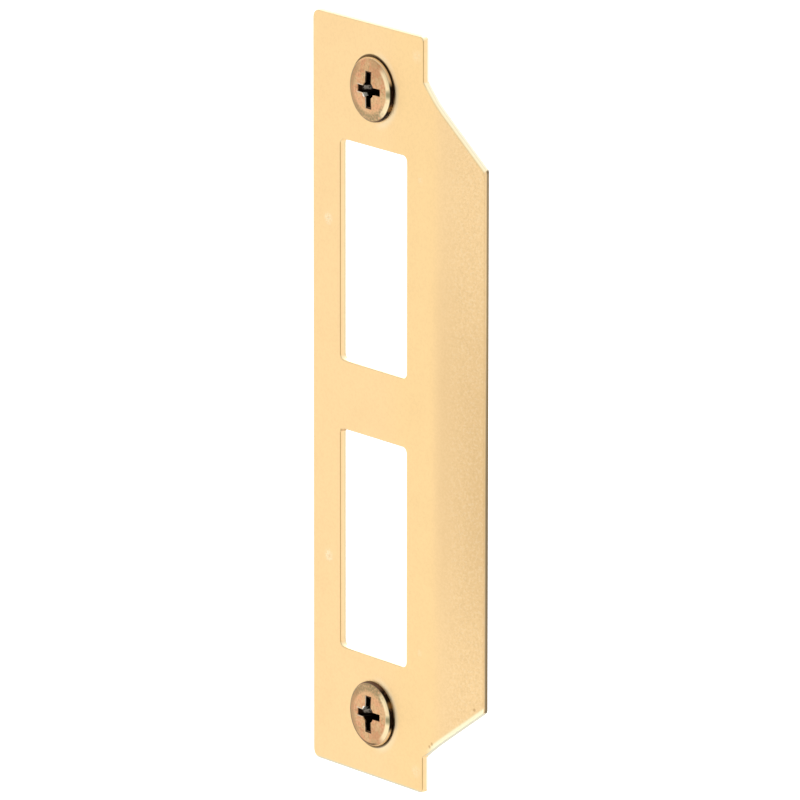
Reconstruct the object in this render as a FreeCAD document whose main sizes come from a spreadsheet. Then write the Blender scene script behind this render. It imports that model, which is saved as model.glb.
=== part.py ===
# Door strike plate with two keeper windows, a bent lip and its two fixing screws.
# Lengths are in millimetres and angles in degrees.
# X runs across the plate towards the lip, Z along its length.
# The face that lies on the door jamb is the plane Y = 0, and the room is towards -Y.
# The origin is the middle of that back face, on the bridge between the two windows.
import FreeCAD, Part
import os
import math
import Sketcher

DRIVING_SIZES = {
    # plate, a strip of sheet 5 1/2 in long and 1 1/4 in wide
    "plate_height": 139.7,
    "plate_width": 31.75,
    "sheet_thickness": 1.27,
    "long_edge_corner_radius": 1.6,
    "tab_corner_radius": 1.0,
    "punched_edge_radius": 0.22,
    # windows for the latch and the bolt
    "window_width": 19.05,
    "window_edge_margin": 7.9375,
    "window_end_margin": 22.55,
    "window_bridge": 12.8,
    "window_corner_radius": 1.1,
    # lip that the latch rides up, bent back round the jamb
    "upper_tab_height": 8.2,
    "lower_tab_height": 6.8,
    "upper_end_angle": 46.0,
    "lower_end_angle": 38.0,
    "lip_stub_width": 1.7,
    "lip_bend_radius": 12.5,
    "lip_bend_angle": 15.0,
    "lip_flat_width": 9.0,
    "lip_corner_radius": 1.0,
    "lip_root_radius": 0.5,
    # screw holes
    "screw_end_margin": 11.90625,
    "countersink_angle": 82.0,
    "hole_land": 0.15,
    "seat_clearance": 0.03,
    # screws
    "head_diameter": 11.9,
    "head_side_height": 0.25,
    "shoulder_radius": 0.7,
    "crown_height": 1.25,
    "core_diameter": 4.4,
    "screw_length": 12.0,
    "point_length": 4.2,
    "point_radius": 0.25,
    # cross recess
    "recess_span": 6.8,
    "recess_floor_span": 2.6,
    "recess_wing_width": 1.3,
    "recess_depth": 2.6,
    "recess_cone_diameter": 3.2,
    "recess_cone_floor_diameter": 1.8,
}

SCREW_SIDES = {"upper_screw": 1, "lower_screw": -1}

doc = FreeCAD.newDocument("door_strike_plate")


def fill_spreadsheet(values):
    sheet = doc.addObject("Spreadsheet::Sheet", "sizes")
    for row, (name, value) in enumerate(values.items(), start=1):
        sheet.set("A%d" % row, name)
        sheet.set("B%d" % row, str(value))
        sheet.setAlias("B%d" % row, name)
    doc.recompute()
    return sheet


sizes = fill_spreadsheet(DRIVING_SIZES)


def size(name):
    return float(sizes.get(name))


# General sketch and body helpers

TOUCH = 1e-4
START, END, CENTRE = range(1, 4)
HORIZONTAL_AXIS, VERTICAL_AXIS = range(-1, -3, -1)
ORIGIN = (HORIZONTAL_AXIS, START)


def new_body(label):
    body = doc.addObject("PartDesign::Body", label)
    body.Label = label
    return body


def origin_feature(body, role):
    return next(item for item in body.Origin.OriginFeatures if item.Role == role)


def new_sketch(body, name, plane_role):
    sketch = body.newObject("Sketcher::SketchObject", name)
    sketch.AttachmentSupport = [(origin_feature(body, plane_role), "")]
    sketch.MapMode = "FlatFace"
    return sketch


def point(u, v):
    return FreeCAD.Vector(u, v, 0)


def add_line(sketch, first, last):
    return sketch.addGeometry(Part.LineSegment(first, last), False)


def add_arc(sketch, centre, radius, start_angle, end_angle):
    circle = Part.Circle(centre, FreeCAD.Vector(0, 0, 1), radius)
    arc = Part.ArcOfCircle(circle, math.radians(start_angle), math.radians(end_angle))
    return sketch.addGeometry(arc, False)


def relate(sketch, kind, *members):
    return sketch.addConstraint(Sketcher.Constraint(kind, *members))


def measure(sketch, name, expression, kind, *members):
    # A named dimension whose value follows the spreadsheet.
    index = sketch.addConstraint(Sketcher.Constraint(kind, *members))
    sketch.renameConstraint(index, name)
    sketch.setExpression("Constraints." + name, expression)
    return index


def place(sketch, name, expression, kind, value, shape, end=START):
    # The distance from the origin to one end of a line, on either side of it.
    if value < 0:
        members = (shape, end, *ORIGIN)
        expression = "-1 * (%s)" % expression
    else:
        members = (*ORIGIN, shape, end)
    return measure(sketch, name, expression, kind, *members, abs(value))


def join_ends(sketch, chain):
    # Closes a chain of lines, each end on the start of the next one.
    for line, following in zip(chain, chain[1:] + chain[:1]):
        relate(sketch, "Coincident", line, END, following, START)


def bind(feature, **expressions):
    for name, expression in expressions.items():
        feature.setExpression(name, expression)


def edges_where(shape, test):
    names = []
    for index, edge in enumerate(shape.Edges, start=1):
        if test(edge):
            names.append("Edge%d" % index)
    return names


def round_edges(body, name, radius_name, test):
    # A fillet over the edges of the body's last feature that pass the test.
    base = body.Tip
    fillet = body.newObject("PartDesign::Fillet", name)
    fillet.Base = (base, edges_where(base.Shape, test))
    bind(fillet, Radius="sizes." + radius_name)
    doc.recompute()
    return fillet


# The lip's run from the plate's edge along the sheet, and the line that windows and screws share

LIP_RUN = ("sizes.lip_stub_width + sizes.lip_flat_width"
           " + sizes.lip_bend_radius * sizes.lip_bend_angle * pi / 180")
SCREW_LINE = "sizes.window_edge_margin + (sizes.window_width - sizes.plate_width) / 2"


def lip_run():
    bend = size("lip_bend_radius") * math.radians(size("lip_bend_angle"))
    return size("lip_stub_width") + bend + size("lip_flat_width")


def lip_point(radius, beyond):
    # A point of the lip, at a radius from the bend's axis and a distance beyond the bend.
    bend = math.radians(size("lip_bend_angle"))
    across = size("plate_width") / 2 + size("lip_stub_width")
    across += radius * math.sin(bend) + beyond * math.cos(bend)
    back = size("lip_bend_radius") - radius * math.cos(bend) + beyond * math.sin(bend)
    return point(across, back)


def screw_line():
    return size("window_edge_margin") + (size("window_width") - size("plate_width")) / 2


# The height of the upper screw above the middle of the plate

SCREW_HEIGHT = "(sizes.plate_height / 2 - sizes.screw_end_margin)"


def screw_height():
    return size("plate_height") / 2 - size("screw_end_margin")


# Folded strip: the section of the sheet, seen along the length of the plate

def sketch_strip_section(body):
    sheet = size("sheet_thickness")
    left = -size("plate_width") / 2
    bend_start = size("plate_width") / 2 + size("lip_stub_width")
    bend = size("lip_bend_angle")
    inner = size("lip_bend_radius")
    outer = inner + sheet
    along = point(math.cos(math.radians(bend)), math.sin(math.radians(bend)))
    across = point(math.sin(math.radians(bend)), -math.cos(math.radians(bend)))
    centre = point(bend_start, inner)
    inner_end = centre + across * inner
    outer_end = centre + across * outer
    reach = along * size("lip_flat_width")

    section = new_sketch(body, "strip_section", "XY_Plane")
    back = add_line(section, point(left, 0), point(bend_start, 0))
    inner_bend = add_arc(section, centre, inner, -90, bend - 90)
    lip_back = add_line(section, inner_end, inner_end + reach)
    lip_edge = add_line(section, inner_end + reach, outer_end + reach)
    lip_front = add_line(section, outer_end + reach, outer_end)
    outer_bend = add_arc(section, centre, outer, -90, bend - 90)
    front = add_line(section, point(bend_start, -sheet), point(left, -sheet))
    long_edge = add_line(section, point(left, -sheet), point(left, 0))

    relate(section, "Tangent", back, END, inner_bend, START)
    relate(section, "Tangent", inner_bend, END, lip_back, START)
    relate(section, "Coincident", lip_back, END, lip_edge, START)
    relate(section, "Coincident", lip_edge, END, lip_front, START)
    relate(section, "Tangent", lip_front, END, outer_bend, END)
    relate(section, "Tangent", outer_bend, START, front, START)
    relate(section, "Coincident", front, END, long_edge, START)
    relate(section, "Coincident", long_edge, END, back, START)
    relate(section, "Coincident", outer_bend, CENTRE, inner_bend, CENTRE)
    relate(section, "PointOnObject", back, START, HORIZONTAL_AXIS)
    relate(section, "Horizontal", back)
    relate(section, "Horizontal", front)
    relate(section, "Vertical", long_edge)
    relate(section, "Perpendicular", lip_back, lip_edge)
    relate(section, "Parallel", lip_back, lip_front)
    measure(section, "half_width", "sizes.plate_width / 2",
            "DistanceX", back, START, *ORIGIN, -left)
    measure(section, "bend_start", "sizes.plate_width / 2 + sizes.lip_stub_width",
            "DistanceX", *ORIGIN, back, END, bend_start)
    measure(section, "sheet", "sizes.sheet_thickness",
            "DistanceY", long_edge, START, long_edge, END, sheet)
    measure(section, "bend_radius", "sizes.lip_bend_radius", "Radius", inner_bend, inner)
    measure(section, "lip_width", "sizes.lip_flat_width", "Distance", lip_back,
            size("lip_flat_width"))
    measure(section, "bend_angle", "sizes.lip_bend_angle * 1 deg",
            "Angle", HORIZONTAL_AXIS, START, lip_back, START, math.radians(bend))
    return section


# Notches that leave the two tabs of plain edge, one beyond each end of the lip

def sketch_end_notch(body, name, side, tab_name, angle_name):
    edge = size("plate_width") / 2
    root = side * (size("plate_height") / 2 - size(tab_name))
    past_end = side * (size("plate_height") / 2 + size("sheet_thickness"))
    past_lip = size("plate_width") + lip_run()
    low = root - side * math.tan(math.radians(size(angle_name))) * (past_lip - edge)

    notch = new_sketch(body, name, "XZ_Plane")
    tab_edge = add_line(notch, point(edge, root), point(edge, past_end))
    outside = add_line(notch, point(edge, past_end), point(past_lip, past_end))
    beyond = add_line(notch, point(past_lip, past_end), point(past_lip, low))
    lip_end = add_line(notch, point(past_lip, low), point(edge, root))
    join_ends(notch, [tab_edge, outside, beyond, lip_end])
    relate(notch, "Vertical", tab_edge)
    relate(notch, "Horizontal", outside)
    relate(notch, "Vertical", beyond)
    place(notch, "tab_edge", "sizes.plate_width / 2", "DistanceX", edge, tab_edge)
    place(notch, "past_lip", "sizes.plate_width + " + LIP_RUN, "DistanceX", past_lip, beyond)
    place(notch, "lip_root", "%d * (sizes.plate_height / 2 - sizes.%s)" % (side, tab_name),
          "DistanceY", root, tab_edge)
    place(notch, "past_end", "%d * (sizes.plate_height / 2 + sizes.sheet_thickness)" % side,
          "DistanceY", past_end, outside)
    measure(notch, "end_angle", "180 deg - %d * sizes.%s * 1 deg" % (side, angle_name),
            "Angle", HORIZONTAL_AXIS, START, lip_end, START,
            math.radians(180 - side * size(angle_name)))
    return notch


# Window: a rectangle with rounded corners, the upper one of the two

def sketch_window(body):
    left = size("window_edge_margin") - size("plate_width") / 2
    right = left + size("window_width")
    low = size("window_bridge") / 2
    high = size("plate_height") / 2 - size("window_end_margin")
    radius = size("window_corner_radius")

    window = new_sketch(body, "upper_window", "XZ_Plane")
    corners = [(right, low, -1, 1), (right, high, -1, -1), (left, high, 1, -1), (left, low, 1, 1)]
    centres = [point(u + du * radius, v + dv * radius) for u, v, du, dv in corners]
    turns = [-90, 0, 90, 180]
    arcs = [add_arc(window, centre, radius, turn, turn + 90)
            for centre, turn in zip(centres, turns)]
    outward = [point(radius, 0), point(0, radius), point(-radius, 0), point(0, -radius)]
    sides = []
    for index, away in enumerate(outward):
        following = (index + 1) % len(centres)
        sides.append(add_line(window, centres[index] + away, centres[following] + away))
    right_side, top_side, left_side, bottom_side = sides
    for index, side in enumerate(sides):
        following = (index + 1) % len(arcs)
        relate(window, "Tangent", arcs[index], END, side, START)
        relate(window, "Tangent", side, END, arcs[following], START)
    relate(window, "Vertical", right_side)
    relate(window, "Horizontal", top_side)
    relate(window, "Vertical", left_side)
    relate(window, "Horizontal", bottom_side)
    for arc in arcs[1:]:
        relate(window, "Equal", arcs[0], arc)
    measure(window, "corner", "sizes.window_corner_radius", "Radius", arcs[0], radius)
    place(window, "left", "sizes.window_edge_margin - sizes.plate_width / 2",
          "DistanceX", left, left_side)
    measure(window, "width", "sizes.window_width",
            "DistanceX", left_side, START, right_side, START, right - left)
    place(window, "low", "sizes.window_bridge / 2", "DistanceY", low, bottom_side)
    place(window, "high", "sizes.plate_height / 2 - sizes.window_end_margin",
          "DistanceY", high, top_side)
    return window


def sketch_screw_centre(body):
    # The circle only marks the hole's centre, on the front face of the plate.
    centre = new_sketch(body, "upper_screw_centre", "XZ_Plane")
    bind(centre, **{"AttachmentOffset.Base.z": "sizes.sheet_thickness"})
    across = screw_line()
    up = screw_height()
    radius = size("head_diameter") / 2
    mark = centre.addGeometry(Part.Circle(point(across, up), FreeCAD.Vector(0, 0, 1), radius),
                              False)
    measure(centre, "mark", "sizes.head_diameter / 2", "Radius", mark, radius)
    place(centre, "screw_line", SCREW_LINE, "DistanceX", across, mark, CENTRE)
    place(centre, "screw_height", SCREW_HEIGHT, "DistanceY", up, mark, CENTRE)
    return centre


def through_pocket(body, sketch, name):
    pocket = body.newObject("PartDesign::Pocket", name)
    pocket.Profile = sketch
    pocket.Type = "ThroughAll"
    pocket.SideType = "Symmetric"
    doc.recompute()
    return pocket


def countersunk_hole(body, sketch):
    # The cone runs through the sheet down to a narrow land at the back face.
    hole = body.newObject("PartDesign::Hole", "upper_screw_hole")
    hole.Profile = sketch
    doc.recompute()
    hole.DepthType = "ThroughAll"
    hole.ThreadType = "None"
    hole.HoleCutType = "Countersink"
    hole.HoleCutCustomValues = True
    bind(hole,
         Diameter="sizes.head_diameter + 2 * sizes.seat_clearance"
                  " - 2 * (sizes.sheet_thickness - sizes.hole_land)"
                  " * tan(sizes.countersink_angle * 1 deg / 2)",
         HoleCutDiameter="sizes.head_diameter + 2 * sizes.seat_clearance",
         HoleCutCountersinkAngle="sizes.countersink_angle")
    doc.recompute()
    return hole


def same(first, second):
    return abs(first - second) < TOUCH


def is_corner(edge, across, heights):
    # A short edge through the sheet, at the given X and at one of the given heights.
    box = edge.BoundBox
    through = same(box.YLength, size("sheet_thickness")) and same(box.XLength, 0)
    return through and same(box.XMin, across) and any(same(box.ZMin, up) for up in heights)


def is_lip_corner(edge):
    tip = lip_point(size("lip_bend_radius"), size("lip_flat_width"))
    middle = edge.valueAt((edge.FirstParameter + edge.LastParameter) / 2)
    return edge.Length < 2 * size("sheet_thickness") and middle.x > tip.x


def is_on_front(position):
    # The front of the sheet is flat, then a part of a cylinder, then flat again.
    outer = size("lip_bend_radius") + size("sheet_thickness")
    bend_start = size("plate_width") / 2 + size("lip_stub_width")
    bend_end = lip_point(outer, 0)
    if position.x < bend_start + TOUCH:
        return same(position.y, -size("sheet_thickness"))
    if position.x < bend_end.x + TOUCH:
        centre = FreeCAD.Vector(bend_start, size("lip_bend_radius"), position.z)
        return same(position.distanceToPoint(centre), outer)
    lip_front = FreeCAD.Vector(position.x - bend_end.x, position.y - bend_end.y, 0)
    bend = math.radians(size("lip_bend_angle"))
    return same(lip_front.x * math.sin(bend) - lip_front.y * math.cos(bend), 0)


def is_front_outline(edge):
    # The outline of the front and of its windows, without the bend lines and the screw holes.
    box = edge.BoundBox
    outer = size("lip_bend_radius") + size("sheet_thickness")
    bend_lines = [size("plate_width") / 2 + size("lip_stub_width"), lip_point(outer, 0).x]
    if any(same(box.XMin, line) and same(box.XMax, line) for line in bend_lines):
        return False
    if edge.isClosed():
        return False
    steps = [edge.FirstParameter, edge.LastParameter]
    steps.append(sum(steps) / 2)
    return all(is_on_front(edge.valueAt(step)) for step in steps)


def build_strike_plate():
    body = new_body("strike_plate")

    strip = body.newObject("PartDesign::Pad", "folded_strip")
    strip.Profile = sketch_strip_section(body)
    strip.SideType = "Symmetric"
    bind(strip, Length="sizes.plate_height")
    doc.recompute()

    through_pocket(body, sketch_end_notch(
        body, "upper_notch", 1, "upper_tab_height", "upper_end_angle"), "upper_end_cut")
    through_pocket(body, sketch_end_notch(
        body, "lower_notch", -1, "lower_tab_height", "lower_end_angle"), "lower_end_cut")

    window = through_pocket(body, sketch_window(body), "upper_window_cut")
    hole = countersunk_hole(body, sketch_screw_centre(body))
    mirrored = body.newObject("PartDesign::Mirrored", "lower_window_and_hole")
    mirrored.Originals = [window, hole]
    mirrored.MirrorPlane = (origin_feature(body, "XY_Plane"), [""])
    body.Tip = mirrored
    doc.recompute()

    half_width = size("plate_width") / 2
    half_height = size("plate_height") / 2
    roots = [half_height - size("upper_tab_height"), size("lower_tab_height") - half_height]
    round_edges(body, "long_edge_corners", "long_edge_corner_radius",
                lambda edge: is_corner(edge, -half_width, [half_height, -half_height]))
    round_edges(body, "tab_corners", "tab_corner_radius",
                lambda edge: is_corner(edge, half_width, [half_height, -half_height]))
    round_edges(body, "lip_roots", "lip_root_radius",
                lambda edge: is_corner(edge, half_width, roots))
    round_edges(body, "lip_corners", "lip_corner_radius", is_lip_corner)
    round_edges(body, "punched_edge", "punched_edge_radius", is_front_outline)
    return body


# Screws. Each is built upright, its axis along Z and its rim at Z = 0, and then laid into its hole.

def cone_depth(wide, narrow):
    return (wide - narrow) / 2 / math.tan(math.radians(size("countersink_angle") / 2))


def sketch_screw_profile(body):
    rim = size("head_diameter") / 2
    core = size("core_diameter") / 2
    tip = size("point_radius")
    side = size("head_side_height")
    shoulder = size("shoulder_radius")
    crown = size("crown_height")
    neck = -cone_depth(size("head_diameter"), size("core_diameter"))
    point_start = size("point_length") - size("screw_length")
    bottom = -size("screw_length")
    flat = rim - shoulder
    rise = crown - side
    dome = (flat ** 2 + rise ** 2 - shoulder ** 2) / (2 * (rise - shoulder))
    spread = math.degrees(math.asin(flat / (dome - shoulder)))

    profile = new_sketch(body, "screw_profile", "XZ_Plane")
    corners = [point(rim, side), point(rim, 0), point(core, neck), point(core, point_start),
               point(tip, bottom), point(0, bottom), point(0, crown)]
    lines = [add_line(profile, first, last) for first, last in zip(corners, corners[1:])]
    rim_side, cone, shank, point_side, point_end, axis = lines
    top = add_arc(profile, point(0, crown - dome), dome, 90 - spread, 90)
    corner = add_arc(profile, point(flat, side), shoulder, 0, 90 - spread)
    for line, following in zip(lines, lines[1:]):
        relate(profile, "Coincident", line, END, following, START)
    relate(profile, "Coincident", axis, END, top, END)
    relate(profile, "PointOnObject", top, CENTRE, VERTICAL_AXIS)
    relate(profile, "Tangent", corner, END, top, START)
    relate(profile, "Tangent", corner, START, rim_side, START)
    measure(profile, "shoulder", "sizes.shoulder_radius", "Radius", corner, shoulder)
    relate(profile, "PointOnObject", axis, START, VERTICAL_AXIS)
    relate(profile, "Vertical", axis)
    relate(profile, "Vertical", rim_side)
    relate(profile, "Vertical", shank)
    relate(profile, "Horizontal", point_end)
    place(profile, "rim", "sizes.head_diameter / 2", "DistanceX", rim, rim_side)
    place(profile, "core", "sizes.core_diameter / 2", "DistanceX", core, shank)
    place(profile, "tip", "sizes.point_radius", "DistanceX", tip, point_side, END)
    place(profile, "side", "sizes.head_side_height", "DistanceY", side, rim_side)
    relate(profile, "PointOnObject", cone, START, HORIZONTAL_AXIS)
    place(profile, "neck", "(sizes.core_diameter - sizes.head_diameter) / 2"
          " / tan(sizes.countersink_angle * 1 deg / 2)", "DistanceY", neck, cone, END)
    place(profile, "point_start", "sizes.point_length - sizes.screw_length",
          "DistanceY", point_start, shank, END)
    place(profile, "bottom", "-1 * sizes.screw_length", "DistanceY", bottom, point_end)
    place(profile, "crown", "sizes.crown_height", "DistanceY", crown, axis, END)
    return profile


def sketch_recess_section(body, name, mouth_name, floor_name, whole):
    # The tapered section of a pair of wings, or one half of the cone between the wings.
    mouth = size(mouth_name) / 2
    floor = size(floor_name) / 2
    crown = size("crown_height")
    bottom = crown - size("recess_depth")
    far_mouth = -mouth if whole else 0
    far_floor = -floor if whole else 0

    section = new_sketch(body, name, "XZ_Plane")
    mouth_line = add_line(section, point(far_mouth, crown), point(mouth, crown))
    wall = add_line(section, point(mouth, crown), point(floor, bottom))
    floor_line = add_line(section, point(floor, bottom), point(far_floor, bottom))
    far_side = add_line(section, point(far_floor, bottom), point(far_mouth, crown))
    join_ends(section, [mouth_line, wall, floor_line, far_side])
    if whole:
        for line in (mouth_line, floor_line):
            relate(section, "Symmetric", line, START, line, END, VERTICAL_AXIS)
    else:
        relate(section, "Horizontal", mouth_line)
        relate(section, "Horizontal", floor_line)
        relate(section, "Vertical", far_side)
        relate(section, "PointOnObject", far_side, START, VERTICAL_AXIS)
    place(section, "mouth", "sizes.%s / 2" % mouth_name, "DistanceX", mouth, wall)
    place(section, "floor", "sizes.%s / 2" % floor_name, "DistanceX", floor, floor_line)
    place(section, "crown", "sizes.crown_height", "DistanceY", crown, wall)
    place(section, "bottom", "sizes.crown_height - sizes.recess_depth",
          "DistanceY", bottom, floor_line)
    return section


def cut_cross_recess(body, label):
    # A pair of wings, the same pair turned a quarter, and the cone that opens their corners.
    wings = body.newObject("PartDesign::Pocket", label + "_recess_wings")
    wings.Profile = sketch_recess_section(body, label + "_wing_section",
                                          "recess_span", "recess_floor_span", True)
    wings.SideType = "Symmetric"
    bind(wings, Length="sizes.recess_wing_width")
    doc.recompute()

    cross = body.newObject("PartDesign::PolarPattern", label + "_recess_cross")
    cross.Originals = [wings]
    cross.Axis = (origin_feature(body, "Z_Axis"), [""])
    cross.Angle = 90
    cross.Occurrences = 2
    body.Tip = cross
    doc.recompute()

    cone_section = sketch_recess_section(body, label + "_cone_section", "recess_cone_diameter",
                                         "recess_cone_floor_diameter", False)
    cone = body.newObject("PartDesign::Groove", label + "_recess_cone")
    cone.Profile = cone_section
    cone.ReferenceAxis = (cone_section, ["V_Axis"])
    cone.Angle = 360
    doc.recompute()


def build_screw(label, side):
    body = new_body(label)
    profile = sketch_screw_profile(body)
    doc.recompute()

    turned = body.newObject("PartDesign::Revolution", label + "_turned")
    turned.Profile = profile
    turned.ReferenceAxis = (profile, ["V_Axis"])
    turned.Angle = 360
    doc.recompute()

    cut_cross_recess(body, label)

    body.Placement = FreeCAD.Placement(
        FreeCAD.Vector(0, 0, 0), FreeCAD.Rotation(FreeCAD.Vector(1, 0, 0), 90))
    bind(body, **{
        "Placement.Base.x": SCREW_LINE,
        "Placement.Base.y": "-1 * sizes.sheet_thickness",
        "Placement.Base.z": "%d * %s" % (side, SCREW_HEIGHT),
    })
    doc.recompute()
    return body


pieces = [build_strike_plate()]
pieces += [build_screw(label, side) for label, side in SCREW_SIDES.items()]
doc.recompute()

for item in doc.Objects:
    if "Invalid" in item.State or "Error" in item.State:
        raise RuntimeError("%s did not recompute: %s" % (item.Name, item.State))
for piece in pieces:
    if piece.Shape.isNull() or not piece.Shape.isValid():
        raise RuntimeError("%s has no valid shape" % piece.Label)

os.makedirs("parts", exist_ok=True)
for piece in pieces:
    piece.Shape.exportStep("parts/%s.step" % piece.Label)
    box = piece.Shape.optimalBoundingBox(False, False)
    print("%s: %.1f mm3, %.2f x %.2f x %.2f mm" % (
        piece.Label, piece.Shape.Volume, box.XLength, box.YLength, box.ZLength))
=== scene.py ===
# %% [markdown]
# # A door strike plate and its two screws
# A strike plate is the keeper that a door's latch and bolt spring into. It is screwed flat to
# the jamb. This one is a single piece of plated sheet: two windows, a long lip that leads the
# latch in, and two countersunk holes with cross-recess screws.
# The shapes come from the CAD model and stay as they are. This script gives them their
# finishes, adds the wood thread on the screws, and sets up the light and the camera.

# %% The fixed frame
import math

import bmesh
import bpy
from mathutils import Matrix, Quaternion, Vector


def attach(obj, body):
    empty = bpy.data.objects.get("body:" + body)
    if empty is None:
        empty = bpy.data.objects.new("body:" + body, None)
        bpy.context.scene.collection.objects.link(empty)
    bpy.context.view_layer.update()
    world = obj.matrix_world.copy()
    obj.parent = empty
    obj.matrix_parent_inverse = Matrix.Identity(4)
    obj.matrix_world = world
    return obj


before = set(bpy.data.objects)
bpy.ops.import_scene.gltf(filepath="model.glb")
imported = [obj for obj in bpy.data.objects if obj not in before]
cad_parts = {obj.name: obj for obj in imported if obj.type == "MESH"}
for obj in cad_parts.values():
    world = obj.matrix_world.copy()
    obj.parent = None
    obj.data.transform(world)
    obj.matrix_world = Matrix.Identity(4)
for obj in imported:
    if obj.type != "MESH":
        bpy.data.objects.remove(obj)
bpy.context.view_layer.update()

MM = 0.001
print("nodes:", sorted(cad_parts))

# %% [markdown]
# ## The camera
# The photograph was taken from far away with a long lens, from the lip's side and a little
# above, so the plate's long edges stay parallel. An orthographic camera would keep them so
# too, but a real lens 2 m away gives the same flat look and still lets near things grow a
# little. A place on the plate's front and the offset of the picture's middle from it fix the
# aim, so the lens needs no shift. The plate's back is at y = 0, and its front looks to -Y.

# %% Camera at the photograph's angle
CAMERA_AZIMUTH = math.radians(51.33)
CAMERA_ELEVATION = math.radians(14.2)
CAMERA_ROLL = math.radians(0.05)
CAMERA_DISTANCE = 2.0
FOCAL_LENGTH_MM = 499.8
SHEET_MM = 1.27
AIM_ACROSS_MM = 0.625
AIM_RIGHT_MM = 5.43
AIM_UP_MM = 0.47


def add_object(name, data):
    item = bpy.data.objects.new(name, data)
    bpy.context.scene.collection.objects.link(item)
    return item


plate_front = Vector((AIM_ACROSS_MM, -SHEET_MM, 0.0)) * MM
camera_back = Vector((math.sin(CAMERA_AZIMUTH) * math.cos(CAMERA_ELEVATION),
                      -math.cos(CAMERA_AZIMUTH) * math.cos(CAMERA_ELEVATION),
                      math.sin(CAMERA_ELEVATION)))
camera_right = Vector((math.cos(CAMERA_AZIMUTH), math.sin(CAMERA_AZIMUTH), 0.0))
camera_up = camera_back.cross(camera_right)

camera = add_object("camera", bpy.data.cameras.new("camera"))
camera.data.lens = FOCAL_LENGTH_MM
camera.location = (plate_front + camera_right * (AIM_RIGHT_MM * MM)
                   + camera_up * (AIM_UP_MM * MM) + camera_back * CAMERA_DISTANCE)
camera.rotation_mode = "QUATERNION"
camera.rotation_quaternion = ((-camera_back).to_track_quat("-Z", "Y")
                              @ Quaternion((0.0, 0.0, 1.0), CAMERA_ROLL))
bpy.context.scene.camera = camera
print("camera at", [round(value, 3) for value in camera.location])

# %% [markdown]
# ## Helpers for the materials
# A material is a small tree of nodes. It could be wired by hand in the editor, but a script
# can say each value and repeat it. One function adds any node: settings go in by name, and
# each input takes a plain value or the output of another node. Colours are written as they
# look on a screen, in hex, and one function turns them into the linear values that the
# renderer works in.


# %% One node function and one colour function
def add_node(tree, kind, inputs=(), **settings):
    node = tree.nodes.new(kind)
    for name, value in settings.items():
        setattr(node, name, value)
    pairs = inputs.items() if isinstance(inputs, dict) else enumerate(inputs)
    for socket, value in pairs:
        if isinstance(value, bpy.types.Node):
            value = value.outputs[0]
        if isinstance(value, bpy.types.NodeSocket):
            tree.links.new(value, node.inputs[socket])
        else:
            node.inputs[socket].default_value = value
    return node


def linear(hex_colour):
    # The sRGB curve is a straight line near black and a power above it.
    channels = [int(hex_colour[start:start + 2], 16) / 255 for start in (1, 3, 5)]
    bent = [c / 12.92 if c <= 0.04045 else ((c + 0.055) / 1.055) ** 2.4 for c in channels]
    return (*bent, 1.0)


def new_material(name):
    material = bpy.data.materials.new(name)
    material.use_nodes = True
    material.node_tree.nodes.clear()
    return material


print("mid grey in linear values:", [round(c, 3) for c in linear("#808080")])

# %% [markdown]
# ## Masks and coats
# Real finishes are coats laid over each other in certain places. A mask says where: it rises
# smoothly from 0 to 1 as its value goes from the first limit to the second, so limits in
# falling order make it fade, and it can be kept inside another mask. A round spot is a mask
# by the distance from its centre. A coat mixes one colour over another where its mask is 1.
# A painted image could say the same, but masks stay sharp from any distance.

# %% Recipes for masks and coats
# A Mix node has sockets for every kind of data. These are the numbers of the colour ones.
MIX_SHARE = 0
MIX_UNDER = 6
MIX_OVER = 7
MIX_RESULT = 2


def mask(tree, value, limits, within=1.0):
    start, full = limits
    rise = add_node(tree, "ShaderNodeMapRange",
                    {"Value": value, "From Min": start, "From Max": full},
                    interpolation_type="SMOOTHSTEP")
    return add_node(tree, "ShaderNodeMath", [rise, within], operation="MULTIPLY")


def round_spot(tree, flat_place, centre, limits, within=1.0):
    away = add_node(tree, "ShaderNodeVectorMath", [flat_place, (*centre, 0.0)],
                    operation="DISTANCE").outputs["Value"]
    return mask(tree, away, limits, within)


def coat(tree, under, over, where, strength=1.0):
    share = add_node(tree, "ShaderNodeMath", [where, strength], operation="MULTIPLY")
    mix = add_node(tree, "ShaderNodeMix",
                   {MIX_SHARE: share, MIX_UNDER: under, MIX_OVER: over}, data_type="RGBA")
    return mix.outputs[MIX_RESULT]


print("recipes:", [recipe.__name__ for recipe in (mask, round_spot, coat)])

# %% [markdown]
# ## Places on the object
# A mask needs to know where it is. The position is in millimetres, so limits whose names end
# in _MM are the object's own sizes. The other limits are parts of the surface's normal, which
# are 1 along an axis and 0 square to it, or levels of a noise, which lie around 0.5.
# A position mirrored about the middle of the plate's length lets one material serve both
# screws. Round a screw, right means towards the lip, and out means away from the middle.

# %% Recipes for places
SCREW_X_MM = 1.5875
SCREW_Z_MM = 57.94375


def surface_place(tree):
    # The position in mm, also mirrored to the upper half, and the way that the surface faces.
    source = add_node(tree, "ShaderNodeTexCoord")
    spot = add_node(tree, "ShaderNodeVectorMath",
                    {0: source.outputs["Object"], "Scale": 1 / MM}, operation="SCALE")
    across, depth, up = add_node(tree, "ShaderNodeSeparateXYZ", [spot]).outputs
    from_middle = add_node(tree, "ShaderNodeMath", [up], operation="ABSOLUTE").outputs[0]
    mirrored = add_node(tree, "ShaderNodeCombineXYZ", [across, depth, from_middle])
    normal = add_node(tree, "ShaderNodeSeparateXYZ", [source.outputs["Normal"]]).outputs
    facing = add_node(tree, "ShaderNodeMath", [normal[1]], operation="ABSOLUTE").outputs[0]
    return {"spot": spot, "mirrored": mirrored, "across": across, "depth": depth, "up": up,
            "from_middle": from_middle, "normal": normal, "facing": facing}


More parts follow.
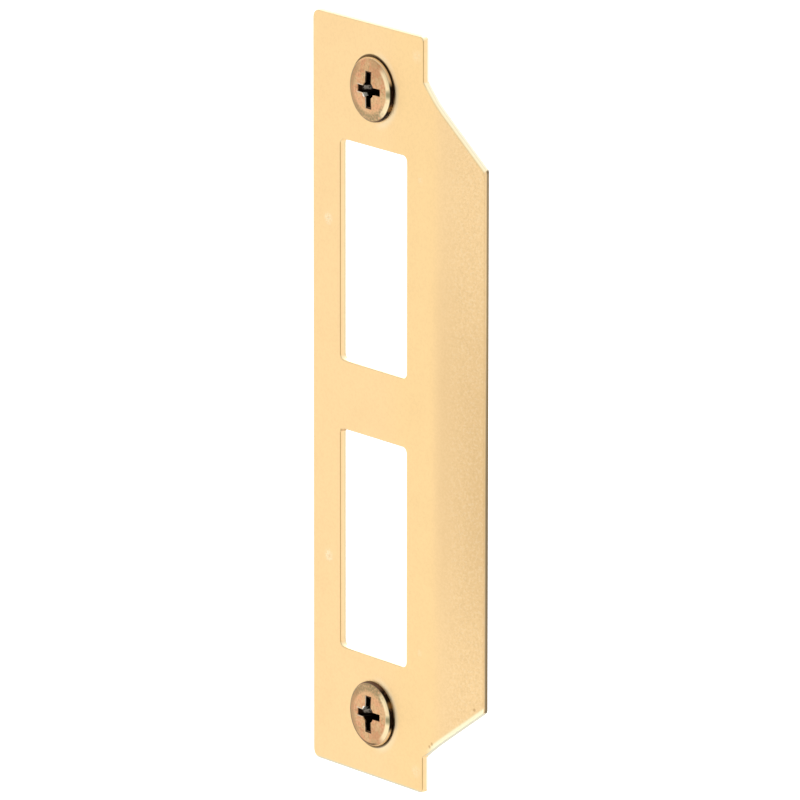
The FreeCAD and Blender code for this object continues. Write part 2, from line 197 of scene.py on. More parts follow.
def from_screw(tree, place):
    # The distance from the nearer screw's axis, and its parts to the right and out.
    right = add_node(tree, "ShaderNodeMath", [place["across"], SCREW_X_MM],
                     operation="SUBTRACT")
    out = add_node(tree, "ShaderNodeMath", [place["from_middle"], SCREW_Z_MM],
                   operation="SUBTRACT")
    both = add_node(tree, "ShaderNodeCombineXYZ", [right, out, 0.0])
    radius = add_node(tree, "ShaderNodeVectorMath", [both],
                      operation="LENGTH").outputs["Value"]
    right_share = add_node(tree, "ShaderNodeMath", [right, radius], operation="DIVIDE")
    out_share = add_node(tree, "ShaderNodeMath", [out, radius], operation="DIVIDE")
    return radius, right_share, out_share, both


def distance_from(tree, value, middle):
    offset = add_node(tree, "ShaderNodeMath", [value, middle], operation="SUBTRACT")
    return add_node(tree, "ShaderNodeMath", [offset], operation="ABSOLUTE")


def distance_along(tree, spot, direction, start):
    reach = add_node(tree, "ShaderNodeVectorMath", [spot, direction],
                     operation="DOT_PRODUCT").outputs["Value"]
    return add_node(tree, "ShaderNodeMath", [reach, start], operation="SUBTRACT")


print("screw axes", SCREW_X_MM, "mm across,", SCREW_Z_MM, "mm above and below the middle")

# %% [markdown]
# ## The plate: satin brass plating on sheet steel
# Such plates are stamped from steel strip, blasted or tumbled to an even satin, and plated
# with a thin brass. The eye sees a pale gold that is almost even, with a very fine grain and
# no sharp reflections. The metal's colour is its reflectance, so it goes straight into Base
# Color with Metallic at 1, and the grain goes into the bump and the roughness as well.
# A picture of brass could be laid on, but noise at real sizes repeats nowhere. A blasted
# grain is about 0.05 mm, and the lip's rubbed fibres are as fine. The render has 3 to 5
# pixels for a millimetre, so both are drawn nearly ten times as coarse, which is as fine as
# it can show. The clouds of tarnish have their real size.

# %% Satin brass: its patterns
GRAIN_MM = 0.50
FIBRE_MM = 0.45
CLOUD_MM = 9.0

brass = new_material("satin_brass_plating")
tree = brass.node_tree
place = surface_place(tree)
spot, facing, normal = place["spot"], place["facing"], place["normal"]
across, depth, up = place["across"], place["depth"], place["up"]

grain = add_node(tree, "ShaderNodeTexNoise", {
    "Vector": spot, "Scale": 1 / GRAIN_MM, "Detail": 2.0, "Roughness": 0.6})
fibre = add_node(tree, "ShaderNodeTexNoise", {
    "Vector": spot, "Scale": 1 / FIBRE_MM, "Detail": 3.0, "Roughness": 0.7,
    "Distortion": 0.8})
clouds = add_node(tree, "ShaderNodeTexNoise", {
    "Vector": spot, "Scale": 1 / CLOUD_MM, "Detail": 3.0})
print("patterns of", GRAIN_MM, FIBRE_MM, "and", CLOUD_MM, "mm")

# %% [markdown]
# ### From the flat to the lip
# The lip gets a painted shade, a little deeper than the flat, which stands for the shade of
# the bend, most of all at the middle of its height and towards its outer edge, and its grain
# shows more. A second material could start at the bend, but that would draw a border. Each
# shade is a coat over the one before instead, and fades in over millimetres.

# %% Gold of the flat, and painted shade over the bend and the lip
PLATE_GOLD = linear("#FEDBA3")
BEND_SHADE_GOLD = linear("#FDDA9F")
LIP_SHADE_GOLD = linear("#FAD8A2")
DEEP_LIP_SHADE_GOLD = linear("#F1CF9A")
OUTER_LIP_SHADE_GOLD = linear("#E7C591")
BEND_FADE_MM = (2.0, 12.0)
LIP_FADE_MM = (17.6, 21.5)
OUTER_LIP_FADE_MM = (22.5, 29.5)
DEEP_MIDDLE_MM = -3.0
DEEP_FADE_MM = (46.0, 10.0)
OUTER_SHADE_MIDDLE_MM = -12.0
OUTER_SHADE_FADE_MM = (38.0, 4.0)

on_lip = mask(tree, across, LIP_FADE_MM)
outer_lip = mask(tree, across, OUTER_LIP_FADE_MM)
lip_middle_shade = mask(tree, distance_from(tree, up, DEEP_MIDDLE_MM), DEEP_FADE_MM, on_lip)
outer_lip_shade = mask(tree, distance_from(tree, up, OUTER_SHADE_MIDDLE_MM), OUTER_SHADE_FADE_MM, outer_lip)
# Painted shade: the gold darkens from the flat over the bend onto the lip.
colour = coat(tree, PLATE_GOLD, BEND_SHADE_GOLD, mask(tree, across, BEND_FADE_MM))
colour = coat(tree, colour, LIP_SHADE_GOLD, on_lip)
colour = coat(tree, colour, DEEP_LIP_SHADE_GOLD, lip_middle_shade)
colour = coat(tree, colour, OUTER_LIP_SHADE_GOLD, outer_lip_shade, strength=0.75)
print("the lip's gold starts", LIP_FADE_MM[0], "mm across")

# %% Grain in the gold
GRAIN_SHADE = linear("#C79F66")
PALE_RUB = linear("#FFF0D2")
GRAINY_FADE_MM = (18.5, 26.0)
CLOUDS_DARK = (0.45, 0.75)
GRAIN_DARK = (0.60, 0.35)
FIBRE_DARK = (0.54, 0.38)
GRAIN_PALE = (0.50, 0.66)

grainy = mask(tree, across, GRAINY_FADE_MM)
colour = coat(tree, colour, GRAIN_SHADE, mask(tree, clouds, CLOUDS_DARK), strength=0.04)
colour = coat(tree, colour, GRAIN_SHADE, mask(tree, grain, GRAIN_DARK), strength=0.08)
colour = coat(tree, colour, GRAIN_SHADE, mask(tree, fibre, FIBRE_DARK, grainy), strength=0.17)
colour = coat(tree, colour, PALE_RUB, mask(tree, grain, GRAIN_PALE, grainy), strength=0.15)
print("the lip is grainy from", GRAINY_FADE_MM[0], "mm across")

# %% [markdown]
# ### Rubbed spots
# Two small rubbed spots with a darker middle sit on the strip beside the windows, and four
# fainter ones by the lip. They could be painted by hand, but a distance from a named place is
# enough, and the fibre pattern makes their outline ragged, as a rub is.

# %% Rubbed spots on the front
FRONT_FACE = (-0.60, -0.85)
SPOT_RAGGED = (0.40, 0.58)
SPOT_CORE = 0.3
SPOT_MIDDLE_MM = (0.45, 0.15)
# The place of each spot, across and up in mm, with its radius in mm and its strength.
PALE_SPOTS = {(-11.4, 31.9): (1.5, 0.70), (-11.3, -30.9): (1.5, 0.70),
              (15.1, 43.7): (0.9, 0.30), (15.1, -43.7): (0.9, 0.30),
              (14.0, 66.1): (1.6, 0.35), (14.0, -66.1): (1.6, 0.35)}
SPOT_MIDDLES = [(-11.3, 32.0), (-11.2, -31.0)]

front = mask(tree, normal[1], FRONT_FACE)
flat_spot = add_node(tree, "ShaderNodeCombineXYZ", [across, up, 0.0])
for centre, (radius_mm, strength) in PALE_SPOTS.items():
    round_part = round_spot(tree, flat_spot, centre, (radius_mm, radius_mm * SPOT_CORE), front)
    ragged = mask(tree, fibre, SPOT_RAGGED, round_part)
    colour = coat(tree, colour, PALE_RUB, ragged, strength)
for centre in SPOT_MIDDLES:
    middle = round_spot(tree, flat_spot, centre, SPOT_MIDDLE_MM, front)
    colour = coat(tree, colour, GRAIN_SHADE, middle, strength=0.18)
print(len(PALE_SPOTS), "rubbed spots,", len(SPOT_MIDDLES), "of them with a middle")

# %% [markdown]
# ### Screw seats and the back
# A painted shadow lies in a dark ring where each screw head meets its seat, and a painted
# highlight makes a paler ring outside it. The back isn't polished, so it is cloudy.
# The rings could be thin pieces of their own, but they have no thickness on the real plate,
# so they are two masks on the distance from the screw's axis, one to enter and one to leave.

# %% Painted shadow and highlight rings round the screws, and the cloudy back
SEAT_SHADOW_LINE = linear("#4E3719")
SEAT_SHADOW_INSIDE_MM = (5.90, 5.96)
SEAT_SHADOW_OUTSIDE_MM = (6.50, 6.28)
SEAT_SHADOW_OUTWARD = (-0.35, 0.15)
HALO_INSIDE_MM = (6.1, 6.4)
HALO_OUTSIDE_MM = (7.8, 6.6)
HALO_RIGHTWARD = (-0.1, 0.5)
BACK_FACE = (0.50, 0.80)
BACK_CLOUDS = (0.35, 0.65)

radius, right_share, out_share, from_axis = from_screw(tree, place)
# Painted shadow: a dark ring where each head meets its seat.
seat_shadow = mask(tree, radius, SEAT_SHADOW_OUTSIDE_MM, front)
seat_shadow = mask(tree, radius, SEAT_SHADOW_INSIDE_MM, seat_shadow)
seat_shadow = mask(tree, out_share, SEAT_SHADOW_OUTWARD, seat_shadow)
colour = coat(tree, colour, SEAT_SHADOW_LINE, seat_shadow, strength=0.9)
# Painted highlight: a paler ring outside each head, towards the lip.
seat_highlight_ring = mask(tree, radius, HALO_INSIDE_MM, front)
seat_highlight_ring = mask(tree, radius, HALO_OUTSIDE_MM, seat_highlight_ring)
seat_highlight_ring = mask(tree, right_share, HALO_RIGHTWARD, seat_highlight_ring)
colour = coat(tree, colour, PALE_RUB, seat_highlight_ring, strength=0.40)
back = mask(tree, normal[1], BACK_FACE)
colour = coat(tree, colour, GRAIN_SHADE, mask(tree, clouds, BACK_CLOUDS, back), strength=0.30)
print("residue out to", SEAT_SHADOW_OUTSIDE_MM[0], "mm from each screw's axis")

# %% [markdown]
# ### Rolled front edges
# A punch pulls the sheet's front edge over before it cuts, which leaves a small round. The
# CAD model has that round, so the way that the surface faces finds it, with no outline to
# follow. On the flat the round gets a painted highlight, paler than the face. Where it looks
# towards the lip, a thin brown line of painted shade runs along it, which is faint on the lip.

# %% Painted highlight on the rims of the flat
PALE_EDGE_HIGHLIGHT = linear("#EAD8AE")
LEFT_RIM_MM = (-15.35, -15.65)
FLAT_END_MM = (17.05, 16.35)
NOT_CUT = (0.20, 0.45)
PALE_ROLL = (0.990, 0.93)

# Painted highlight: the flat's rims are paler than its face.
left_rim_highlight = mask(tree, across, LEFT_RIM_MM, front)
colour = coat(tree, colour, PALE_EDGE_HIGHLIGHT, left_rim_highlight, strength=0.8)
not_cut = mask(tree, facing, NOT_CUT)
flat_rim_highlight = mask(tree, facing, PALE_ROLL, mask(tree, across, FLAT_END_MM, not_cut))
colour = coat(tree, colour, PALE_EDGE_HIGHLIGHT, flat_rim_highlight, strength=0.75)
print("the pale rims end", FLAT_END_MM[0], "mm across")

# %% Painted shade line along the round
EDGE_SHADE = linear("#BF945A")
ROLL = (0.955, 0.86)
LIPWARD = (0.15, 0.50)
UPRIGHT = (0.35, 0.15)
LEVEL = (0.15, 0.40)
FLAT_LINE_MM = (20.0, 16.5)
LIP_LINE_MM = (16.5, 20.0)

# Painted shade: a thin brown line on the round.
rolled = mask(tree, facing, ROLL, not_cut)
tilt = add_node(tree, "ShaderNodeMath", [normal[2]], operation="ABSOLUTE").outputs[0]
towards_lip = mask(tree, normal[0], LIPWARD, mask(tree, tilt, UPRIGHT, rolled))
flat_line = mask(tree, across, FLAT_LINE_MM, towards_lip)
colour = coat(tree, colour, EDGE_SHADE, flat_line, strength=0.85)
lip_line = mask(tree, across, LIP_LINE_MM, towards_lip)
colour = coat(tree, colour, EDGE_SHADE, lip_line, strength=0.18)
level_line = mask(tree, tilt, LEVEL, rolled)
colour = coat(tree, colour, EDGE_SHADE, level_line, strength=0.14)
print("the brown line fades out up to", FLAT_LINE_MM[0], "mm across")

# %% Painted shade line along the bottom edge, and painted gleam on the upper lip end
GREY_CUT = linear("#DDD9C2")
ROLL_GLEAM = linear("#FFF0C4")
BOTTOM_RIM_MM = (-69.38, -69.58)
BOTTOM_END_MM = (16.2, 15.7)
FORWARD = (-0.15, -0.45)
UPPER_END_MM = (16.2, 17.0)
UPWARD = (0.15, 0.40)

# Painted shade: a grey line along the front's bottom edge, where the round turns down.
lower_rim = mask(tree, up, BOTTOM_RIM_MM, mask(tree, normal[1], FORWARD))
lower_rim = mask(tree, across, BOTTOM_END_MM, lower_rim)
colour = coat(tree, colour, GREY_CUT, lower_rim, strength=0.9)
# Painted highlight: the upward round of the lip's upper end gleams.
upper_end = mask(tree, across, UPPER_END_MM, mask(tree, normal[2], UPWARD, rolled))
colour = coat(tree, colour, ROLL_GLEAM, upper_end, strength=0.9)
print("the lip's upper end starts", UPPER_END_MM[0], "mm across")

# %% [markdown]
# ### Cut faces
# Behind the round, a punched edge is smooth and then torn, and the plating is thin there, so
# its cut faces are a little paler. On top of that, the faces that look up and the back part
# of the windows' faces get a painted highlight. A cut face is where the surface faces
# sideways, and the depth through the sheet says how far back. Faces could be picked by their
# numbers, but those change whenever the CAD does. The lip lies at a slope, so its depth is
# measured square to it, and the smaller of the two depths holds on either side of the bend.

# %% Cut faces of the windows and edges, with painted highlight
PALE_CUT = linear("#FFF6D8")
CUT_FACE = (0.45, 0.20)
SKYWARD = (0.3, 0.7)
WINDOW_END_MM = (13.0, 12.0)
WINDOW_DEPTH_MM = (-0.55, -0.15)

cut = mask(tree, facing, CUT_FACE)
colour = coat(tree, colour, PALE_CUT, cut, strength=0.14)
# Painted highlight: the back part of the windows' cut faces.
window_cut_highlight = mask(tree, across, WINDOW_END_MM, mask(tree, depth, WINDOW_DEPTH_MM, cut))
colour = coat(tree, colour, PALE_EDGE_HIGHLIGHT, window_cut_highlight, strength=0.7)
# Painted highlight: cut faces that look up are paler.
cut_up = mask(tree, normal[2], SKYWARD, cut)
colour = coat(tree, colour, PALE_CUT, cut_up, strength=0.6)
print("the windows' cut faces change", -WINDOW_DEPTH_MM[0], "mm before the back")

# %% Depth through the sheet
LIP_SLOPE = math.radians(15.0)
LIP_FACE_MM = -6.25

lip_square = (-math.sin(LIP_SLOPE), math.cos(LIP_SLOPE), 0.0)
lip_through = distance_along(tree, spot, lip_square, LIP_FACE_MM)
flat_through = add_node(tree, "ShaderNodeMath", [depth, SHEET_MM], operation="ADD")
through = add_node(tree, "ShaderNodeMath", [lip_through, flat_through], operation="MINIMUM")
print("the sheet is", SHEET_MM, "mm thick")

# %% Slanted upper end: a grey line, and a painted highlight behind it
PALE_SLANT_HIGHLIGHT = linear("#F2F0E0")
SLANT_START_MM = (15.9, 16.6)
SLANT_HIGHLIGHT_DEPTH_MM = (0.55, 1.25)
GREY_LINE_START_MM = (0.45, 0.60)
GREY_LINE_END_MM = (0.95, 0.75)

slant_cut = mask(tree, across, SLANT_START_MM, cut_up)
# Painted highlight on the slanted end's cut face, behind a grey line near its front.
slant_highlight_mask = mask(tree, through, SLANT_HIGHLIGHT_DEPTH_MM, slant_cut)
colour = coat(tree, colour, PALE_SLANT_HIGHLIGHT, slant_highlight_mask, strength=0.90)
slant_grey_line = mask(tree, through, GREY_LINE_END_MM, slant_cut)
slant_grey_line = mask(tree, through, GREY_LINE_START_MM, slant_grey_line)
colour = coat(tree, colour, GREY_CUT, slant_grey_line, strength=0.55)
print("the burnished line ends", GREY_LINE_END_MM[0], "mm deep")

# %% Plate's top edge
TOP_CUT_FRONT = linear("#B39E78")
TOP_CUT_BACK = linear("#B8AE94")
TOP_EDGE_MM = (69.2, 69.6)
TOP_END_MM = (15.3, 14.7)
TOP_FACE = (0.6, 0.9)
TOP_DEPTH_MM = (0.1, 1.2)

top_cut = mask(tree, up, TOP_EDGE_MM, mask(tree, normal[2], TOP_FACE, cut))
top_cut = mask(tree, across, TOP_END_MM, top_cut)
colour = coat(tree, colour, TOP_CUT_FRONT, top_cut, strength=0.95)
colour = coat(tree, colour, TOP_CUT_BACK, mask(tree, through, TOP_DEPTH_MM, top_cut))
print("the top edge is darker from", TOP_EDGE_MM[0], "mm up")

# %% Painted highlight on the sides of the tabs above and below the lip
TAB_SIDE_HIGHLIGHT = linear("#FFFFF6")
TAB_START_MM = (15.0, 15.5)
TAB_END_MM = (16.6, 16.2)
TAB_FACE = (0.85, 0.95)
TAB_DEPTH_MM = (0.75, 1.15)

# Painted highlight: the back part of each tab's side is white.
tab_side = mask(tree, across, TAB_END_MM, mask(tree, normal[0], TAB_FACE, cut))
tab_side = mask(tree, across, TAB_START_MM, tab_side)
tab_side = mask(tree, through, TAB_DEPTH_MM, tab_side)
colour = coat(tree, colour, TAB_SIDE_HIGHLIGHT, tab_side, strength=0.8)
print("the tabs' sides are white from", TAB_DEPTH_MM[0], "mm deep")

# %% [markdown]
# ### The lip's outer edge and lower end
# The lip's outer edge is sheared last. Its back half gets a dark brown painted shade, which
# reaches further forward towards the bottom. Along the slanted lower end the front gets a
# narrow painted highlight, nearly white, with a grey cut face below it. The band could be a
# strip of geometry, but it is only a shine. It follows the end, so it is measured square to
# that line.

# %% Painted shade on the sheared outer edge
OUTER_EDGE_SHADE = linear("#7C6A4E")
OUTER_EDGE_MM = (27.0, 28.5)
OUTER_FACE = (0.80, 0.92)
EDGE_SHADE_DEPTH_MM = (0.45, 0.75)
LOW_EDGE_SHADE_DEPTH_MM = (0.20, 0.55)
LOW_EDGE_SHADE_FADE_MM = (25.0, -15.0)

lip_edge = mask(tree, across, OUTER_EDGE_MM, mask(tree, normal[0], OUTER_FACE, cut))
# Painted shade: the lip's outer edge darkens, most at its back half and towards the bottom.
colour = coat(tree, colour, EDGE_SHADE, lip_edge, strength=0.25)
colour = coat(tree, colour, OUTER_EDGE_SHADE, mask(tree, lip_through, EDGE_SHADE_DEPTH_MM, lip_edge))
low_edge = mask(tree, up, LOW_EDGE_SHADE_FADE_MM, lip_edge)
low_edge = mask(tree, lip_through, LOW_EDGE_SHADE_DEPTH_MM, low_edge)
colour = coat(tree, colour, OUTER_EDGE_SHADE, low_edge, strength=0.8)
print("bare steel from", EDGE_SHADE_DEPTH_MM[0], "mm behind the lip's front")

# %% Painted highlight along the lower end
PALE_END_HIGHLIGHT = linear("#FFFFDC")
LOWER_END_ANGLE = math.radians(38.0)
LOWER_END_ROOT_MM = (15.875, -63.05)
END_HIGHLIGHT_MM = (0.90, 0.38)
END_HIGHLIGHT_START_MM = (16.3, 19.5)
END_HIGHLIGHT_FACE = (-0.05, -0.30)
LOWER_CUT_START_MM = (16.0, 16.8)
LOWER_CUT_DOWN = (-0.45, -0.65)
LOWER_CUT_RIGHT = (0.40, 0.55)

end_square = (-math.sin(LOWER_END_ANGLE), 0.0, math.cos(LOWER_END_ANGLE))
end_start = LOWER_END_ROOT_MM[0] * end_square[0] + LOWER_END_ROOT_MM[1] * end_square[2]
end_distance = distance_along(tree, spot, end_square, end_start)
# Painted highlight: a narrow, nearly white band along the lip's slanted lower end.
lower_end_highlight = mask(tree, end_distance, END_HIGHLIGHT_MM, mask(tree, across, END_HIGHLIGHT_START_MM))
lower_end_highlight = mask(tree, normal[1], END_HIGHLIGHT_FACE, lower_end_highlight)
colour = coat(tree, colour, PALE_END_HIGHLIGHT, lower_end_highlight, strength=0.85)
lower_cut = mask(tree, normal[2], LOWER_CUT_DOWN, mask(tree, normal[0], LOWER_CUT_RIGHT, cut))
lower_cut = mask(tree, across, LOWER_CUT_START_MM, lower_cut)
colour = coat(tree, colour, GREY_CUT, lower_cut, strength=0.95)
print("the burnished band is", END_HIGHLIGHT_MM[0], "mm wide")

# %% [markdown]
# ### Brown marks
# Where plating is nicked, the steel under it rusts in a tiny brown dot. There is one beside a
# window, and there are three along the lip's lower end. A noise could scatter them, but so
# few are better placed one by one.

# %% Rusted nicks
RUST_BROWN = linear("#A66E38")
# The place of each mark, across and up in mm, with its radius in mm.
BROWN_MARKS = {(-7.7, -6.8): 0.45, (17.9, -60.6): 0.42,
               (18.5, -59.95): 0.45, (27.9, -51.9): 0.42}

for centre, radius_mm in BROWN_MARKS.items():
    mark = round_spot(tree, flat_spot, centre, (radius_mm, radius_mm * SPOT_CORE))
    colour = coat(tree, colour, RUST_BROWN, mark, strength=0.45)
print(len(BROWN_MARKS), "brown marks")

# %% [markdown]
# ### How the plate scatters light
# A satin metal spreads its reflections. Roughness alone would look like frosted plastic, so
# noise in it and a bump of 0.02 mm break the reflections up as the blasted grain does. The
# fibre pattern is added on the lip. The cut faces are a little rougher.

# %% Shading of the plate
BRASS_ROUGHNESS = 0.36
GRAIN_ROUGHNESS = 0.10
CUT_ROUGHNESS = 0.06
GRAIN_BUMP = 0.35
GRAIN_DEPTH_MM = 0.02


def finish_metal(tree, colour, rough, relief, bump_strength, depth_mm):
    bump = add_node(tree, "ShaderNodeBump", {
        "Height": relief, "Strength": bump_strength, "Distance": depth_mm * MM})
    shader = add_node(tree, "ShaderNodeBsdfPrincipled", {
        "Base Color": colour, "Metallic": 1.0, "Roughness": rough, "Normal": bump})
    add_node(tree, "ShaderNodeOutputMaterial", {"Surface": shader})


rough = add_node(tree, "ShaderNodeMath", [grain, GRAIN_ROUGHNESS, BRASS_ROUGHNESS],
                 operation="MULTIPLY_ADD")
rough = add_node(tree, "ShaderNodeMath", [cut, CUT_ROUGHNESS, rough], operation="MULTIPLY_ADD")
lip_grain = add_node(tree, "ShaderNodeMath", [fibre, on_lip], operation="MULTIPLY")
relief = add_node(tree, "ShaderNodeMath", [grain, lip_grain], operation="ADD")
finish_metal(tree, colour, rough, relief, GRAIN_BUMP, GRAIN_DEPTH_MM)
print("plate material has", len(tree.nodes), "nodes")

# %% [markdown]
# ## The screws: antique brass
# The screws are steel, brass plated, then blackened and rubbed back. The rubbing leaves a
# pinkish bronze on the domed face and greenish grey patches near the rim, and the recess keeps
# its black, where the cloth doesn't reach. The bright band on the shoulder is painted
# highlight, and the nearly black side is partly blackening and partly painted shade. Each
# could be a material of its own, but they run into each other, so they are masks by the
# distance to the screw's axis and by the way the surface faces. The height along the plate is
# used without its sign, so one material serves both screws, and their patches mirror each
# other as they do in the photograph. The patches have their real size. The speckle is the
# fine mottle of the blackening, about 0.1 mm, and is drawn four times as coarse, so that it
# shows.

# %% Antique brass: its patterns
PATCH_MM = 1.5
SPECKLE_MM = 0.45

bronze = new_material("antique_brass_plating")
tree = bronze.node_tree
place = surface_place(tree)
facing, normal = place["facing"], place["normal"]
radius, right_share, out_share, from_axis = from_screw(tree, place)
right_mm, out_mm = add_node(tree, "ShaderNodeSeparateXYZ", [from_axis]).outputs[:2]
height = add_node(tree, "ShaderNodeMath", [-SHEET_MM, place["depth"]], operation="SUBTRACT")
patches = add_node(tree, "ShaderNodeTexNoise", {
    "Vector": place["mirrored"], "Scale": 1 / PATCH_MM, "Detail": 3.0, "Roughness": 0.65})
speckle = add_node(tree, "ShaderNodeTexNoise", {
    "Vector": place["mirrored"], "Scale": 1 / SPECKLE_MM, "Detail": 2.0, "Roughness": 0.6})
print("patterns of", PATCH_MM, "and", SPECKLE_MM, "mm")

# %% Domed face
FACE_BRONZE = linear("#D7AD7D")
FACE_PINK = linear("#DD9C72")
FACE_PALE = linear("#E6CBA0")
FACE_GREY = linear("#857F5D")
FACE_LIGHT = linear("#F6C493")
FACE_TAN = linear("#B98F66")
PINK_PATCHES = (0.46, 0.60)
PALE_SPECKLE = (0.50, 0.66)
GREY_SPECKLE = (0.46, 0.34)
LIGHT_INWARD_MM = (0.5, -2.5)
TAN_OUTWARD_MM = (1.0, 3.5)
TAN_RIGHTWARD_MM = (-0.5, 1.5)

colour = coat(tree, FACE_BRONZE, FACE_PINK, mask(tree, patches, PINK_PATCHES), strength=0.8)
colour = coat(tree, colour, FACE_PALE, mask(tree, speckle, PALE_SPECKLE), strength=0.45)
colour = coat(tree, colour, FACE_GREY, mask(tree, speckle, GREY_SPECKLE), strength=0.40)
colour = coat(tree, colour, FACE_LIGHT, mask(tree, out_mm, LIGHT_INWARD_MM), strength=0.32)
tan_part = mask(tree, out_mm, TAN_OUTWARD_MM, mask(tree, right_mm, TAN_RIGHTWARD_MM))
colour = coat(tree, colour, FACE_TAN, tan_part, strength=0.40)
print("the face is tan from", TAN_OUTWARD_MM[0], "mm out, and lighter on the other side")

# %% Grey and tan near the rim
NEAR_RIM_MM = (3.6, 5.2)
CAP_RIM_MM = (3.9, 4.8)
TAN_RIM_MM = (4.0, 5.0)
OUTER_RIM_MM = (5.20, 5.45)
CAP_SPECKLE = (0.80, 0.40)
CAP_INWARD = (-0.35, -0.75)
GREY_PATCHES = (0.56, 0.44)
GREY_LEFTWARD = (-0.55, -0.95)
TAN_LEFTWARD = (-0.35, -0.80)
RIM_LEFTWARD = (-0.50, -0.80)

grey_cap = mask(tree, out_share, CAP_INWARD, mask(tree, radius, CAP_RIM_MM))
grey_cap = mask(tree, speckle, CAP_SPECKLE, grey_cap)
colour = coat(tree, colour, FACE_GREY, grey_cap, strength=0.75)
grey_places = mask(tree, patches, GREY_PATCHES, mask(tree, radius, NEAR_RIM_MM))
grey_places = mask(tree, right_share, GREY_LEFTWARD, grey_places)
colour = coat(tree, colour, FACE_GREY, grey_places, strength=0.45)
tan_rim = mask(tree, right_share, TAN_LEFTWARD, mask(tree, radius, TAN_RIM_MM))
colour = coat(tree, colour, FACE_TAN, tan_rim, strength=0.70)
outer_rim = mask(tree, radius, OUTER_RIM_MM)
grey_rim = mask(tree, right_share, RIM_LEFTWARD, outer_rim)
colour = coat(tree, colour, FACE_GREY, grey_rim, strength=0.6)
print("the grey starts", NEAR_RIM_MM[0], "mm from the axis")

# %% [markdown]
# ### Shoulder and side of the head
# The shoulder gets a painted highlight on the side towards the lip, broken by one grey gap.
# On the lower screw, a painted shadow line lies in the rest of its rim. The side under the
# shoulder is black, partly blackening and partly painted shade, with brown where it thins
# and bare brass near the top. The shoulder and the side are narrow cones, and the way they
# face tells them apart, so the masks need no edges from the model.

# %% Painted highlight on the shoulder
SHOULDER_HIGHLIGHT = linear("#FFEABC")
SHOULDER_MM = (4.65, 5.10)
SHOULDER_FACE = (0.50, 0.70)
HIGHLIGHT_RIGHTWARD = (0.50, 0.80)
HIGHLIGHT_PATCHES = (0.30, 0.50)
HIGHLIGHT_INWARD = (0.80, 0.30)
GAP_WIDTH = (0.22, 0.02)

shoulder = mask(tree, facing, SHOULDER_FACE, mask(tree, radius, SHOULDER_MM))
# Painted highlight: a bright band on the shoulder, towards the lip, with one grey gap.
highlit = mask(tree, right_share, HIGHLIGHT_RIGHTWARD, shoulder)
colour = coat(tree, colour, SHOULDER_HIGHLIGHT, mask(tree, patches, HIGHLIGHT_PATCHES, highlit), strength=0.85)
colour = coat(tree, colour, SHOULDER_HIGHLIGHT, mask(tree, out_share, HIGHLIGHT_INWARD, highlit), strength=0.75)
gap = add_node(tree, "ShaderNodeMath", [out_share], operation="ABSOLUTE")
colour = coat(tree, colour, FACE_GREY, mask(tree, gap, GAP_WIDTH, highlit), strength=0.85)
print("the shoulder is worn from", SHOULDER_MM[0], "mm from the axis")

# %% Painted shadow line in the lower screw's rim
SCREW_RIM_SHADOW = linear("#5A4226")
SHADOW_LEFTWARD = (0.50, 0.20)
SHADOW_OUTWARD = (-0.25, 0.10)
LOWER_SCREW_MM = (5.0, -5.0)

# Painted shadow: a dark line in the lower screw's rim, away from the lip.
rim_shadow_line = mask(tree, right_share, SHADOW_LEFTWARD, outer_rim)
rim_shadow_line = mask(tree, out_share, SHADOW_OUTWARD, rim_shadow_line)
rim_shadow_line = mask(tree, place["up"], LOWER_SCREW_MM, rim_shadow_line)
colour = coat(tree, colour, SCREW_RIM_SHADOW, rim_shadow_line, strength=0.85)
print("dirt below the middle, from", OUTER_RIM_MM[0], "mm from the axis")

# %% Blackened side, partly painted shade
BLACKENING_AND_SHADE = linear("#1C110B")
SIDE_BROWN = linear("#6B5244")
BREAK_BROWN = linear("#8C6A3C")
SIDE_BRASS = linear("#EBCB9C")
SIDE_MM = (5.05, 5.50)
SIDE_FACE = (0.80, 0.62)
BROWN_SPECKLE = (0.55, 0.70)
BROWN_INWARD = (-0.80, -0.95)
BREAK_MIDDLE = -0.45
BREAK_WIDTH = (0.14, 0.03)
BARE_HEIGHT_MM = (0.12, 0.34)
BARE_OUTWARD = (0.22, 0.45)

side = mask(tree, facing, SIDE_FACE, mask(tree, radius, SIDE_MM))
# Blackening and painted shade: the side under the shoulder is nearly black.
colour = coat(tree, colour, BLACKENING_AND_SHADE, side)
colour = coat(tree, colour, SIDE_BROWN, mask(tree, speckle, BROWN_SPECKLE, side), strength=0.7)
colour = coat(tree, colour, SIDE_BROWN, mask(tree, out_share, BROWN_INWARD, side), strength=0.8)
thin_place = distance_from(tree, out_share, BREAK_MIDDLE)
thin_place = mask(tree, thin_place, BREAK_WIDTH, side)
colour = coat(tree, colour, BREAK_BROWN, thin_place, strength=0.7)
bare_side = mask(tree, height, BARE_HEIGHT_MM, side)
bare_side = mask(tree, out_share, BARE_OUTWARD, bare_side)
colour = coat(tree, colour, SIDE_BRASS, bare_side, strength=0.95)
print("the side is bare from", BARE_HEIGHT_MM[0], "mm above the plate")

# %% [markdown]
# ### The cross recess
# A driver's recess keeps its blackening, apart from its inner walls on the left, which catch
# grey light, and one painted glint. Beside the two upright arms, black is painted on the face
# as well: blackening and painted shade that widen the arms' dark. The recess lies below the
# dome, so the height alone can't find it near the rim, where the dome is low. The depth under
# the dome can, and it is worked out from the dome's radius. It is counted from a little under
# the dome, so that the dome's own flat facets stay out.

# %% Depth under the dome
CROWN_MM = 1.25
DOME_RADIUS_MM = 46.8
SKIN_MM = 0.05

